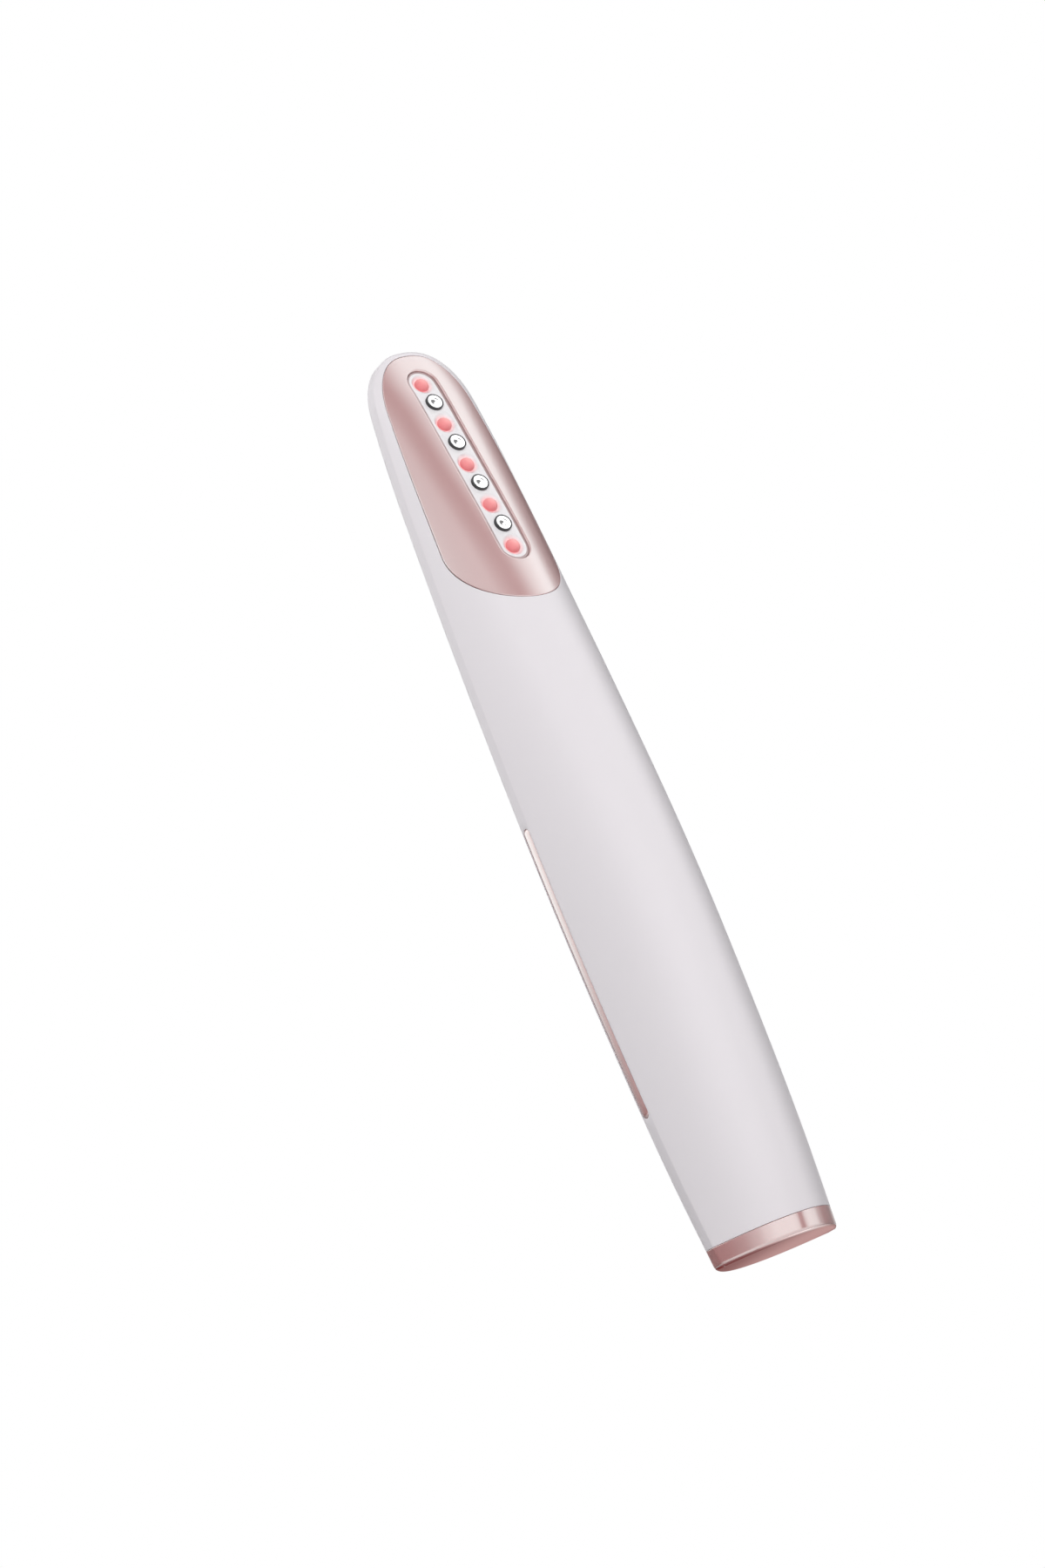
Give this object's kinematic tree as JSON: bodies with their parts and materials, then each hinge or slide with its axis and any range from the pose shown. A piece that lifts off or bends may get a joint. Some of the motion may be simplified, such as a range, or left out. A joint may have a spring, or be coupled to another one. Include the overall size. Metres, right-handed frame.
{
  "type": "skin firming wand",
  "caption": "Slim hand-held beauty wand with a sloped rose-gold head plate, a row of red lights and metal contacts, two side keys and charging studs, standing on its end cap.",
  "frame": {"origin": "middle of the flat foot of the end cap", "axes": "+Z along the wand to its tip, -Y out of the treatment front with the lights, +X to the right seen from that front"},
  "size_m": [0.0296, 0.0257, 0.168],
  "materials": {
    "shell": "moulded, fine satin, pale lavender grey",
    "rose_gold": "rose gold, smooth semi-gloss",
    "window": "milky light guide, smooth",
    "light_lens": "clear pink-red lens, polished",
    "contact_chrome": "polished chrome",
    "dark_rubber": "soft black",
    "stud_metal": "dark gunmetal plating",
    "bezel": "moulded, satin",
    "inner_plastic": "moulded, matte",
    "circuit_board": "solder-masked board",
    "chip": "moulded, matte",
    "diode": "phosphor-coated chip",
    "cell_foil": "laminated foil pouch",
    "foam": "closed-cell foam, matte",
    "steel": "plain bright steel",
    "spring_brass": "gold-flashed spring alloy",
    "ferrite": "pressed ferrite, matte",
    "ribbon": "flat flexible cable",
    "lead_red": "soft insulation",
    "lead_black": "soft insulation"
  },
  "bodies": {
    "wand_body": {"front_shell": "shell", "rear_shell": "shell", "head_plate": "rose_gold", "end_cap": "rose_gold", "window_bar": "window", "light_lens_1": "light_lens", "light_lens_2": "light_lens", "light_lens_3": "light_lens", "light_lens_4": "light_lens", "light_lens_5": "light_lens", "contact_pin_1": "contact_chrome", "contact_pin_2": "contact_chrome", "contact_pin_3": "contact_chrome", "contact_pin_4": "contact_chrome", "contact_ring_1": "dark_rubber", "contact_ring_2": "dark_rubber", "contact_ring_3": "dark_rubber", "contact_ring_4": "dark_rubber", "cap_seal": "dark_rubber", "motor_sleeve": "dark_rubber", "charge_stud_1": "stud_metal", "charge_stud_2": "stud_metal", "charge_bezel_1": "bezel", "charge_bezel_2": "bezel", "chassis": "inner_plastic", "stud_carrier": "inner_plastic", "main_board": "circuit_board", "light_board": "circuit_board", "microcontroller": "chip", "charge_chip": "chip", "left_switch": "chip", "right_switch": "chip", "light_chip_1": "diode", "light_chip_2": "diode", "light_chip_3": "diode", "light_chip_4": "diode", "light_chip_5": "diode", "lithium_cell": "cell_foil", "foam_pad": "foam", "motor_can": "steel", "charge_magnet": "steel", "chassis_screw_1": "steel", "chassis_screw_2": "steel", "board_screw_1": "steel", "board_screw_2": "steel", "contact_strip": "spring_brass", "spring_pin_1": "spring_brass", "spring_pin_2": "spring_brass", "voltage_coil": "ferrite", "ribbon_cable": "ribbon", "battery_lead_red": "lead_red", "motor_lead_red": "lead_red", "battery_lead_black": "lead_black", "motor_lead_black": "lead_black"},
    "left_key": {"left_key": "rose_gold"},
    "right_key": {"right_key": "rose_gold"},
    "left_plunger": {"left_plunger": "inner_plastic"},
    "right_plunger": {"right_plunger": "inner_plastic"},
    "motor_rotor": {"motor_shaft": "steel", "motor_weight": "stud_metal"}
  },
  "joints": [
    {"name": "left_key_press", "type": "slide", "parent": "wand_body", "child": "left_key", "axis": [1, 0, 0], "range_m": [0, 0.0005], "stiffness_N_per_m": 2400, "springref_m": -0.0001},
    {"name": "left_plunger_press", "type": "slide", "parent": "wand_body", "child": "left_plunger", "axis": [1, 0, 0], "range_m": [0, 0.0005]},
    {"name": "right_key_press", "type": "slide", "parent": "wand_body", "child": "right_key", "axis": [-1, 0, 0], "range_m": [0, 0.0005], "stiffness_N_per_m": 2400, "springref_m": -0.0001},
    {"name": "right_plunger_press", "type": "slide", "parent": "wand_body", "child": "right_plunger", "axis": [-1, 0, 0], "range_m": [0, 0.0005]},
    {"name": "motor_spin", "type": "hinge", "parent": "wand_body", "child": "motor_rotor", "pos_m": [0, 0.0039, 0.112], "axis": [0, 0, 1], "continuous": true}
  ],
  "couplings": [
    {"joint": "left_plunger_press", "follows": "left_key_press", "ratio": 1},
    {"joint": "right_plunger_press", "follows": "right_key_press", "ratio": 1}
  ]
}
